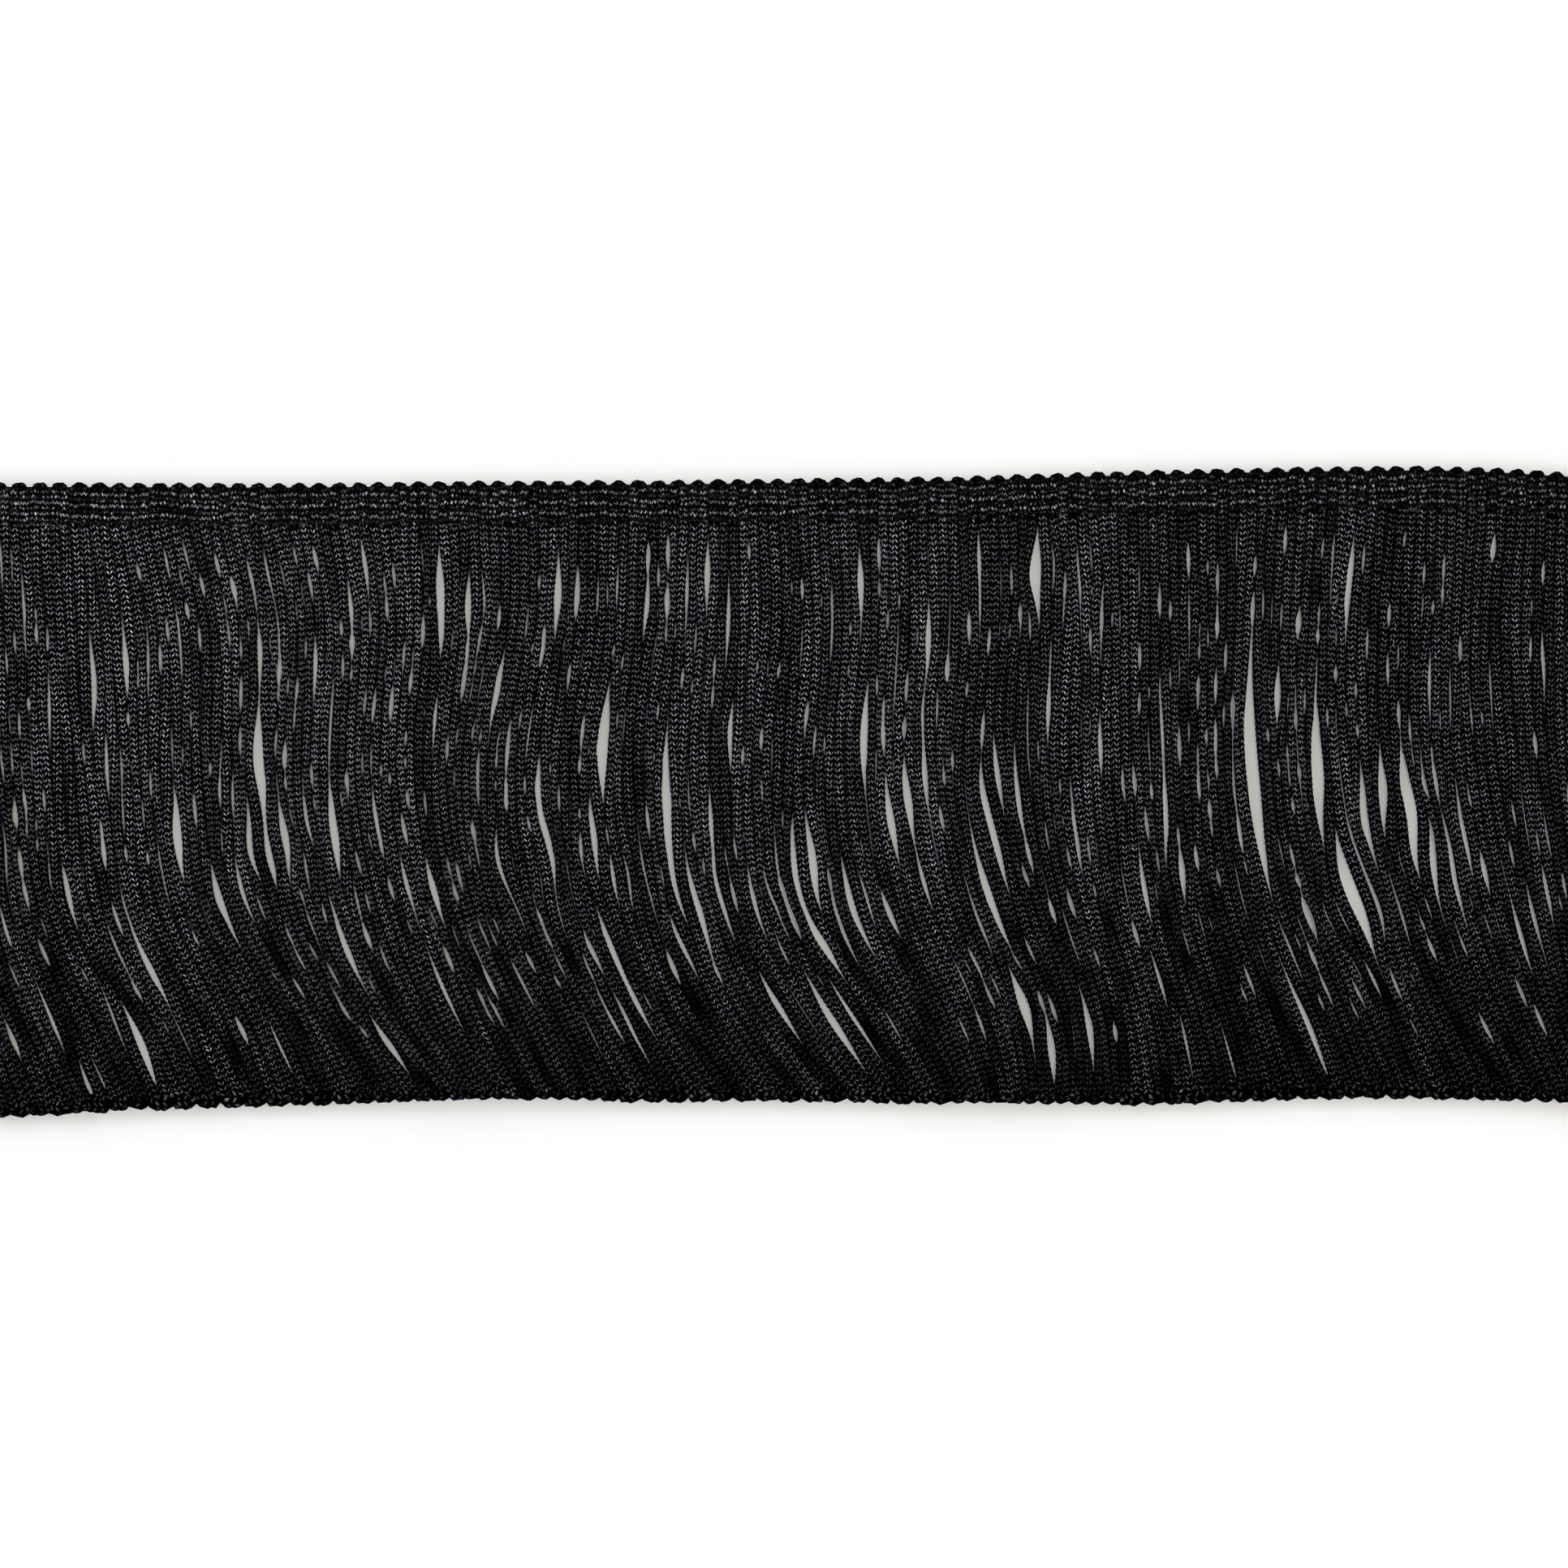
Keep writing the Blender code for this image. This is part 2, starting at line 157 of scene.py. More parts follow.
# How much higher a cord stands where it is squeezed, and how far cords lie over others
MOST_CROWDED = 0.6
SQUEEZED_UP = 0.3
LIFT, LIFT_IN_CROWD = 0.3 * MM, 2.4 * MM
CORD_BUNCHES = 8
# How far a cord turns to and fro about its own line, and how much the strength of its painted
# highlights differs
CORD_TWIST = 0.8
CORD_TWIST_LENGTHS = (40, 90)
CORD_SHINES = (0.65, 1.7)

# How many times each value is evened out along the cords
EVEN_BASE, EVEN_ROUND, EVEN_LAST, EVEN_WIDTHS, EVEN_CROWDING = 40, 10, 24, 4, 12

# Random waves over the cords: how many, how many cords to a wave, and how many millimetres
# down the cords
Waves = namedtuple("Waves", "count cords lengths")
SWAY, SWAY_WAVES = 0.3 * MM, Waves(8, (9, 30), (60, 140))
JOSTLE, JOSTLE_WAVES = 0.16 * MM, Waves(12, (2.1, 6), (50, 120))
OVER_WAVES = Waves(14, (2.3, 7), (30, 90))
LIGHT_WAVES = Waves(10, (1.5, 8), (12, 60))
# How uneven the painted light on the cords is, and how much more so low down
UNEVEN, UNEVEN_LOW = 0.3, 0.25
LOW_FROM, LOW_OVER = 75 * MM, 35 * MM
LEAST_LIGHT = 0.1

# Turns at the hem
HEM_TURN_REACH = 0.3
HEM_TURN_RISE = 2.1 * MM
HEM_WIDENING = 0.95
HEM_WIDENED = 4 * MM
# Painted shade over the last stretch of each cord, at the hem
HEM_SHADE = 0.25

# Knitted tube: columns of V-shaped stitches round it, each with two legs
AROUND = 10
AROUND_HEADING = 14
VALLEY = 0.86
WALE_GROOVE = 0.97
LEG_SLANT = 0.95 * MM
# How quickly the painted light fades to painted shade down the sides of a tube, for the cords and
# for the heading
SIDE_SHADE = 2.3
SIDE_SHADE_HEADING = 1.2

# A turn of the cord through the heading: two legs and a crown. The legs are bound down at
# the binding rows, and sink into the free cords at their feet.
LEG_FOOT, LEG_TOP = HEADING_FOOT - 0.6 * MM, HEADING_TOP - 0.45 * MM
LEG_POINTS = 24
LEG_LEVEL = 0.4 * MM
LEG_HEIGHT = 1.45 * MM
BOUND_HALF = 0.32 * MM
BOUND_DOWN = 0.4 * MM
SINKS_BELOW, SINKS_OVER, SUNK_DOWN = -4.1 * MM, 1.2 * MM, 0.4 * MM
CROWN_FROM, CROWN_OVER, CROWN_DOWN = 2.6 * MM, 1.1 * MM, 0.2 * MM
CROWN_WIDTH = 2.15 * MM
CROWN_PULL = 0.1 * MM
CROWN_REACH, CROWN_POINTS = 2.9, 6
LEG_WANDER, LEG_WANDER_LENGTH = 0.1 * MM, 0.9 * MM
LEG_TURNS = (-0.5, 0.5)
# Strength of the painted highlights on the heading, and the painted shade that takes them off the
# crowns above a level, over a height
HEADING_SHINE, HEADING_SHINES = 1.6, (0.8, 1.2)
CROWN_SHADE, CROWN_SHADE_FROM, CROWN_SHADE_OVER = 0.93, 3.4 * MM, 0.9 * MM

# The ground under the heading
GROUND_GRID = (529, 15)
GROUND_TOP = HEADING_TOP + 0.3 * MM
GROUND_LEVEL = 0.35 * MM
GROUND_THICKNESS = 0.3 * MM
GROUND_WAVE, GROUND_WAVE_X, GROUND_WAVE_Y = 0.03 * MM, 0.38 * MM, 0.25 * MM

# Binding rows: two strands that part over each cord and cross between two cords
BINDING_STEPS = 8
BINDING_AROUND = 5
BINDING_LEVEL, BINDING_DIP, BINDING_CROSSING = 1.85 * MM, 0.35 * MM, 0.12 * MM
BINDING_SHIFTS, BINDING_RISES, BINDING_WANDER = (-0.3, 0.3), (0.2, 0.42), (-0.2, 0.2)
EYE_FULLNESS = 1.5
# Strength of the painted highlights on the strands, and how much it differs from one cord to the
# next
BINDING_SHINE, BINDING_GLINTS = 0.25, (0.2, 1.5)
# The least share of its shine that a strand has, and the slope that has all of it
FLAT_SHINE, STEEPEST, STEEP_POWER = 0.3, 1.2, 1.5

# Where the painted light on the trim falls off: below a level, over a height, and to the right
DIM_BELOW, DIM_OVER, DIM_DOWN = 60 * MM, 85 * MM, 0.72
DIM_AT_LEFT, DIM_RIGHT = 1.1, 0.48

# The stage: what the camera looks at, half the table's width, the lights' distance and
# size, and between which elevations, in degrees, the bright band of the sky fades
LOOKED_AT = (8.6 * MM, -67.3 * MM, 0)
TABLE_HALF = 1.5
LIGHT_AWAY = 2.5
LIGHT_SIZE = (0.5, 0.5)
SKY_BAND = (20, 40)


# Colours

def linear(code):
    """A hex colour in sRGB as linear red, green and blue."""
    parts = [int(code[i:i + 2], 16) / 255 for i in (1, 3, 5)]
    return [p / 12.92 if p <= 0.04045 else ((p + 0.055) / 1.055) ** 2.4 for p in parts]


# What a user would change

class CordSettings(bpy.types.PropertyGroup):
    height: bpy.props.FloatProperty(
        name="Cord height",
        description="Height of one knitted cord as it lies",
        default=1.8 * MM, min=1 * MM, max=3 * MM, precision=5, unit="LENGTH",
    )
    stitch: bpy.props.FloatProperty(
        name="Stitch length",
        description="Length of one knitted stitch along a cord",
        default=1.37 * MM, min=1 * MM, max=4 * MM, precision=5, unit="LENGTH",
    )
    small_slits: bpy.props.IntProperty(
        name="Small slits",
        description="Number of small slits between the cords, besides the large ones",
        default=230, min=0, max=800,
    )
    specks: bpy.props.IntProperty(
        name="Specks",
        description="Number of short openings where two cords are a little thin",
        default=1000, min=0, max=2000,
    )
    seed: bpy.props.IntProperty(
        name="Seed",
        description="Start of the random draws for the lie of the cords",
        default=11, min=0,
    )


class HeadingSettings(bpy.types.PropertyGroup):
    rib_width: bpy.props.FloatProperty(
        name="Rib width",
        description="Width of a cord between two binding rows",
        default=2.7 * MM, min=1 * MM, max=3 * MM, precision=5, unit="LENGTH",
    )
    bound_width: bpy.props.FloatProperty(
        name="Bound width",
        description="Width of a cord where a binding row pulls it in",
        default=2.45 * MM, min=1 * MM, max=3 * MM, precision=5, unit="LENGTH",
    )
    ground_width: bpy.props.FloatProperty(
        name="Ground width",
        description="Width of the thin knitted ground that the cords are bound to",
        default=11 * MM, min=10 * MM, max=12 * MM, precision=5, unit="LENGTH",
    )
    strand: bpy.props.FloatProperty(
        name="Binding strand",
        description="Thickness of one strand of a binding row",
        default=0.32 * MM, min=0.3 * MM, max=1 * MM, precision=5, unit="LENGTH",
    )


class YarnColours(bpy.types.PropertyGroup):
    # Painted highlight: the colour the strokes are painted where a stitch stands up into the light
    lit: bpy.props.FloatVectorProperty(
        name="Lit yarn",
        description="Colour of the rayon where a stitch stands up into the light",
        default=linear("#979bac"), min=0, max=1, subtype="COLOR",
    )
    # Painted highlight in a warmer colour, for a random share of the stitches
    lit_warm: bpy.props.FloatVectorProperty(
        name="Lit yarn, warm",
        description="Colour of some stitches, which lie the other way to the light",
        default=linear("#a39f9b"), min=0, max=1, subtype="COLOR",
    )
    deep: bpy.props.FloatVectorProperty(
        name="Deep yarn",
        description="Colour of the rayon in the hollows between stitches",
        default=linear("#010102"), min=0, max=1, subtype="COLOR",
    )


class StageSettings(bpy.types.PropertyGroup):
    table: bpy.props.FloatVectorProperty(
        name="Table",
        description="Colour of the white table",
        default=linear("#eeeeee"), min=0, max=1, subtype="COLOR",
    )
    round_light: bpy.props.FloatProperty(
        name="Light all round",
        description="Strength of the low, even light that comes from all sides",
        default=3.5, min=0, max=10,
    )
    zenith: bpy.props.FloatProperty(
        name="Share from above",
        description="How much of that light the sky overhead has",
        default=0.01, min=0, max=1,
    )
    warm_light: bpy.props.FloatProperty(
        name="Warm light",
        description="Power of the warm light high up on the right",
        default=11.5, min=0, max=100, unit="POWER",
    )
    cool_light: bpy.props.FloatProperty(
        name="Cool light",
        description="Power of the cool light overhead",
        default=12.5, min=0, max=100, unit="POWER",
    )
    camera_height: bpy.props.FloatProperty(
        name="Camera height",
        description="Height of the camera above the table",
        default=1.0483, min=0.3, max=3, unit="LENGTH",
    )


# Curves through the tables

def column(name):
    return np.array([getattr(section, name) for section in SECTIONS]) * MM


def flowing(at, stations, values):
    """The smooth curve through values at stations, read at one place or many."""
    at = np.clip(at, stations[0], stations[-1])
    slopes = np.gradient(values, stations)
    k = np.clip(np.searchsorted(stations, at) - 1, 0, len(stations) - 2)
    span = stations[k + 1] - stations[k]
    t = (at - stations[k]) / span
    start = values[k] * (1 + 2 * t) * (1 - t) ** 2 + values[k + 1] * (3 - 2 * t) * t**2
    lean = slopes[k] * t * (1 - t) ** 2 - slopes[k + 1] * t**2 * (1 - t)
    return start + lean * span


def heading_rise(x):
    return flowing(x, column("station"), column("rise"))


def hem_level(x):
    return flowing(x, column("station"), column("hem"))


def drift_of(roots, depths):
    """How far each cord has moved sideways at each depth, as levels by cords."""
    stations = column("station")
    table = [np.zeros(len(roots))]
    table += [flowing(roots, stations, column(f"drift{d}")) for d in DRIFT_DEPTHS[1:]]
    table = np.array(table)
    at = np.array(DRIFT_DEPTHS) * MM
    return np.array([flowing(depths, at, table[:, i]) for i in range(len(roots))]).T


def cord_roots():
    return (np.arange(CORD_COUNT) - (CORD_COUNT - 1) / 2) * CORD_PITCH


# The lie of the cords

def kept_apart(places, least):
    """The nearest places to these with each neighbour at least so far from the last."""
    steps = np.concatenate([[0], np.cumsum(least)])
    blocks = []
    for value in places - steps:
        blocks.append([value, 1])
        while len(blocks) > 1 and blocks[-2][0] > blocks[-1][0]:
            value_b, count_b = blocks.pop()
            value_a, count_a = blocks.pop()
            count = count_a + count_b
            blocks.append([(value_a * count_a + value_b * count_b) / count, count])
    return np.concatenate([np.full(count, value) for value, count in blocks]) + steps


def waves(chance, depths, count, cords_a_wave, length):
    """A smooth random field over levels and cords, mostly between -1 and 1."""
    index = np.arange(CORD_COUNT)[None, :]
    field = np.zeros((len(depths), CORD_COUNT))
    for _ in range(count):
        across = chance.choice((-1, 1)) / chance.uniform(*cords_a_wave)
        down = 1 / (chance.uniform(*length) * MM)
        turn = chance.uniform(0, 2 * pi)
        field += np.sin(2 * pi * (index * across + depths[:, None] * down) + turn)
    return field / np.sqrt(count)


def smoothed(grid, times):
    """Each column of the grid, evened out along its length."""
    for _ in range(times):
        grid[1:-1] = (grid[:-2] + 2 * grid[1:-1] + grid[2:]) / 4
    return grid


def both_sides(pairs):
    """What each cord has to its left and to its right, from a value for each pair."""
    left = np.concatenate([pairs[:, :1], pairs], axis=1)
    right = np.concatenate([pairs, pairs[:, -1:]], axis=1)
    return left, right


def slit_list(chance, count, middles, room):
    """The large slits, and small ones wherever the cords aren't crowded."""
    slits = [(s.x * MM, CORD_TOP - s.y * MM, s.length * MM, s.span * MM) for s in SLITS]
    last = len(middles) - 1
    for _ in range(count * SLIT_TRIES):
        if len(slits) >= len(SLITS) + count:
            break
        x = chance.uniform(*SLIT_STATIONS) * MM
        spread = chance.random() < SLITS_SPREAD
        depth = (chance.uniform(*SLIT_DEPTHS) if spread else chance.gauss(*SWEEP_DEPTHS)) * MM
        length = min(LONGEST_SMALL, chance.lognormvariate(*SLIT_LENGTHS)) * MM
        span = min(WIDEST_SMALL, chance.lognormvariate(*SLIT_SPANS)) * MM
        # The heading holds the cords together just below it
        depth = max(depth, length / 2 + HELD_BELOW_HEADING)
        # At the lower right the cords lie close
        if x > CLOSED_STATION and depth > CLOSED_DEPTH and chance.random() < CLOSED_SLITS:
            continue
        level = min(int(depth / LEVEL_STEP), last)
        pair = int(np.abs(middles[level] - x).argmin())
        if room[level, pair] > SLIT_ROOM * CORD_PITCH:
            slits.append((x, depth, length, span))
    return slits


def spacing_wanted(slits, depths, middles, slope, room):
    """How far apart each pair of cords is at each level for the slits between them."""
    wanted = np.zeros_like(room)
    for x, depth, length, span in slits:
        level = int(np.clip(depth / LEVEL_STEP, 0, len(depths) - 1))
        pair = int(np.abs(middles[level] - x).argmin())
        along = np.abs(depths - depths[level]) / (length / 2) * slope[level, pair]
        opening = np.clip(1 - along**2, 0, None) ** SLIT_ROUNDNESS
        near = np.clip((SLIT_REACH - along) / SLIT_FADE, 0, 1)
        near = near * near * (3 - 2 * near)
        low = np.minimum(room[:, pair], TOUCHING_CORDS)
        want = (low + (TOUCHING_CORDS - low) * near) * slope[:, pair] + span * opening
        want *= along < SLIT_REACH
        wanted[:, pair] = np.maximum(wanted[:, pair], want)
    return wanted


def thin_places(chance, count, depths, gaps):
    """How much thinner each cord is at each level, and how far it lies aside there."""
    thinner, aside = np.zeros((2, len(depths), CORD_COUNT))
    for _ in range(count):
        # Somewhat more of them at the left
        pair = int((CORD_COUNT - 1) * chance.random() ** SPECKS_TO_LEFT)
        level = int(chance.uniform(*SPECK_LEVELS))
        along = np.abs(depths - depths[level]) / (chance.uniform(*SPECK_HALF_LENGTHS) * MM)
        opening = np.clip(1 - along**2, 0, None) * chance.uniform(*SPECK_WIDTHS) * MM
        if gaps[level, pair] > TOUCHING_CORDS:
            continue
        if level > CLOSED_LEVEL and chance.random() < CLOSED_SPECKS:
            continue
        for cord, way in ((pair, -1), (pair + 1, 1)):
            thinner[:, cord] = np.maximum(thinner[:, cord], opening)
            aside[:, cord] += way * opening / 4
    return thinner, aside


def cord_lines(chance, settings):
    """Every cord's X, Y, Z, width, height and light at every level, levels by cords by six."""
    roots = cord_roots()
    start = CORD_TOP + heading_rise(roots)
    depths = np.arange(0, CORD_DEPTH + LEVEL_STEP / 2, LEVEL_STEP)
    loose = np.clip(depths / LOOSE_BELOW, 0, 1)[:, None]
    base = roots[None, :] + drift_of(roots, depths)
    base += SWAY * loose * waves(chance, depths, *SWAY_WAVES)
    base += JOSTLE * loose * waves(chance, depths, *JOSTLE_WAVES)
    slope = np.sqrt(1 + np.gradient(base, depths, axis=0) ** 2)
    slope = (slope[:, 1:] + slope[:, :-1]) / 2
    middles = (base[:, 1:] + base[:, :-1]) / 2
    spacing = np.diff(base, axis=1)
    slits = slit_list(chance, settings.small_slits, middles, spacing / slope)
    wanted = spacing_wanted(slits, depths, middles, slope, spacing / slope)
    xs = base.copy()
    index = np.arange(CORD_COUNT)
    for pair in range(CORD_COUNT - 1):
        extra = np.clip(wanted[:, pair] - spacing[:, pair], 0, None)
        giving = GIVING_CORDS + GIVING_A_SPAN * extra.max()
        left = np.clip(1 - (pair - index) / giving, 0, 1) * (index <= pair)
        right = np.clip(1 - (index - pair - 1) / giving, 0, 1) * (index > pair)
        xs += extra[:, None] * (right - left)[None, :] / 2
    least = np.maximum(CLOSEST_CORDS, wanted)
    base = smoothed(base, EVEN_BASE)
    for _ in range(SETTLING_ROUNDS):
        xs = smoothed(xs + SETTLING_BACK * (base - xs), EVEN_ROUND)
        xs = np.array([kept_apart(row, low) for row, low in zip(xs, least)])
    xs = smoothed(xs, EVEN_LAST)
    share = (depths / CORD_DEPTH)[:, None]
    ys = start[None, :] + share * (hem_level(xs[-1]) + HEM_TURN_RISE - start)[None, :]
    lean = np.gradient(xs, axis=0) / np.gradient(ys, axis=0)
    across = 1 / np.sqrt(1 + lean**2)
    gaps = np.diff(xs, axis=1) * (across[:, 1:] + across[:, :-1]) / 2
    left, right = both_sides(np.minimum(gaps, WIDEST_TOUCH))
    widths = np.clip((left + right) / 2 * CORD_FILL, THINNEST_CORD, WIDEST_CORD)
    thinner, aside = thin_places(chance, settings.specks, depths, gaps)
    widths = smoothed(widths, EVEN_WIDTHS) - thinner
    end = np.clip(1 - (CORD_DEPTH - depths) / HEM_WIDENED, 0, 1)[:, None]
    widths *= 1 + HEM_WIDENING * end**2
    left, right = both_sides(gaps)
    crowding = np.clip(1 - (left + right) / 2 / CORD_PITCH, 0, MOST_CROWDED)
    crowding = smoothed(crowding, EVEN_CROWDING)
    heights = settings.height + SQUEEZED_UP * np.clip(CORD_PITCH - widths / CORD_FILL, 0, None)
    over = np.clip(waves(chance, depths, *OVER_WAVES), -1, 1)
    lift = (LIFT + LIFT_IN_CROWD * crowding) * (0.5 + 0.5 * over) * loose
    # Low down the painted light and shade is uneven in waves across the cords, as if they lay in
    # bunches, some up in the light and some in the dark
    uneven = UNEVEN + UNEVEN_LOW * np.clip((depths - LOW_FROM) / LOW_OVER, 0, 1)[:, None]
    uneven = 1 + uneven * waves(chance, depths, *LIGHT_WAVES)
    light = light_on(xs, ys) * np.clip(uneven, LEAST_LIGHT, None) * (1 - HEM_SHADE * end)
    return np.stack([xs + aside, ys, heights / 2 + lift, widths, heights, light], axis=-1)


# Tubes

def turned(a, toward_a, b, toward_b, reach, count=12):
    """Points of a rounded turn that leaves a and arrives at b, without the two ends."""
    t = np.linspace(0, 1, count + 2)[1:-1, None]
    pull = reach * np.linalg.norm((b - a)[:3]) / 2
    start = (2 * t**3 - 3 * t**2 + 1) * a + (3 * t**2 - 2 * t**3) * b
    return start + pull * ((t**3 - 2 * t**2 + t) * toward_a + (t**3 - t**2) * toward_b)


def heading_of(line):
    """The direction in which a line of points ends, as a change of all its columns."""
    step = line[-1, :3] - line[-4, :3]
    return np.concatenate([step / np.linalg.norm(step), np.zeros(line.shape[1] - 3)])


def evenly(path, step):
    """The path at even steps of its length, with a whole number of pairs of steps."""
    runs = np.linalg.norm(np.diff(path[:, :3], axis=0), axis=1)
    length = np.concatenate([[0], np.cumsum(runs)])
    count = 2 * max(1, round(length[-1] / step / 2)) + 1
    at = np.linspace(0, length[-1], count)
    return np.stack([np.interp(at, length, path[:, k]) for k in range(path.shape[1])], axis=1)


def lengthened(path, chance, most):
    """The path with each end drawn out by up to that much, so that no stitches line up."""
    ends = []
    for end, inner in ((path[0], path[3]), (path[-1], path[-4])):
        step = end - inner
        step[3:] = 0
        ends.append(end + step / np.linalg.norm(step) * chance.uniform(0.05, 1) * most)
    return np.concatenate([ends[:1], path, ends[1:]])


def frame_along(points):
    """The tangent, side and up direction at each point."""
    tangent = np.gradient(points, axis=0)
    tangent /= np.linalg.norm(tangent, axis=1)[:, None]
    side = np.cross(tangent, (0, 0, 1.0))
    side /= np.linalg.norm(side, axis=1)[:, None]
    return tangent, side, np.cross(side, tangent)


def knitted_tube(path, turn, around):
    """Rings of points round a path of X, Y, Z, width and height, with V-shaped ridges."""
    tangent, side, up = frame_along(path[:, :3])
    k = np.arange(around)
    ridge = np.where(np.arange(len(path)) % 2 == 0, 1.0, VALLEY)[:, None]
    radius = ridge * np.where(k % 2 == 0, WALE_GROOVE, 1.0)[None, :] / 2
    angle = 2 * pi * k[None, :] / around + turn[:, None]
    a = np.cos(angle) * radius * path[:, 3, None]
    b = np.sin(angle) * radius * path[:, 4, None]
    slide = np.where(k % 2 == 0, 0.5, -0.5)[None, :, None] * LEG_SLANT
    rings = path[:, None, :3] + side[:, None, :] * a[..., None] + up[:, None, :] * b[..., None]
    return rings + tangent[:, None, :] * slide


def plain_tube(path, around):
    """Rings of points round a path of X, Y, Z, width and height."""
    _, side, up = frame_along(path[:, :3])
    angle = 2 * pi * np.arange(around)[None, :] / around
    a = np.cos(angle) * path[:, 3, None] / 2
    b = np.sin(angle) * path[:, 4, None] / 2
    return path[:, None, :3] + side[:, None, :] * a[..., None] + up[:, None, :] * b[..., None]


def upper_side(rings, shade):
    """How much painted light each point gets: 1 on top of its ring, none on the sides and below,
    which are painted in shade.
    """
    z = rings[..., 2]
    low, high = z.min(axis=1)[:, None], z.max(axis=1)[:, None]
    return np.clip((2 * z - low - high) / (high - low), 0, 1) ** shade


def tube_mesh(name, tubes, shade=SIDE_SHADE):
    """One mesh of closed tubes. Each tube is its rings, its stitch count and its light."""
    points, faces, caps, stitches, light = [], [], [], [], []
    base = 0
    for rings, along, bright in tubes:
        rows, around = rings.shape[:2]
        i, j = np.repeat(np.arange(rows - 1), around), np.tile(np.arange(around), rows - 1)
        after = (j + 1) % around
        corner = base + i * around
        near, far = corner + j, corner + after
        faces.append(np.stack([near, far, far + around, near + around], axis=-1))
        v0, v1 = j / around, (j + 1) / around
        u0, u1 = along[i], along[i + 1]
        stitches.append(np.stack([u0, v0, u0, v1, u1, v1, u1, v0], axis=-1).reshape(-1, 2))
        tone = np.full(len(i), bright[1])
        lit = bright[0][:, None] * upper_side(rings, shade)
        corners = lit[i, j], lit[i, after], lit[i + 1, after], lit[i + 1, j]
        light.append(np.stack([a for c in corners for a in (c, tone)], axis=-1).reshape(-1, 2))
        caps.append([base + k for k in reversed(range(around))])
        caps.append([base + (rows - 1) * around + k for k in range(around)])
        points.append(rings.reshape(-1, 3))
        base += rows * around
    mesh = bpy.data.meshes.new(name)
    mesh.from_pydata(np.concatenate(points).tolist(), [], np.concatenate(faces).tolist() + caps)
    for layer_name, values in (("stitches", stitches), ("light", light)):
        values = np.concatenate(values)
        flat = np.zeros((len(mesh.loops), 2), dtype=np.float32)
        flat[: len(values)] = values
        mesh.uv_layers.new(name=layer_name).data.foreach_set("uv", flat.ravel())
    mesh.update()
    mesh.shade_smooth()
    return mesh


def piece(name, mesh, material, slot, *nodes):
    """A new piece of the trim that rides on it and stands for those solids."""
    made = bpy.data.objects.new(name, mesh)
    bpy.context.scene.collection.objects.link(made)
    mesh.materials.clear()
    mesh.materials.append(material)
    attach(made, "root")
    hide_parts(*nodes)
    return made


# Materials

def add_node(tree, kind, values=None, links=None, **settings):
    """Adds a node with its settings, its sockets' values and what feeds them."""
    node = tree.nodes.new(kind)
    for key, value in settings.items():
        setattr(node, key, value)
    for socket, value in (values or {}).items():
        node.inputs[socket].default_value = value
    for socket, (source, output) in (links or {}).items():
        tree.links.new(source.outputs[output], node.inputs[socket])
    return node


def new_material(name, roughness, specular):
    material = bpy.data.materials.new(name)
    material.use_nodes = True
    shader = material.node_tree.nodes["Principled BSDF"]
    shader.inputs["Roughness"].default_value = roughness
    shader.inputs["IOR"].default_value = 1.5
    shader.inputs["Metallic"].default_value = 0
    shader.inputs["Specular IOR Level"].default_value = specular
    return material, material.node_tree, shader


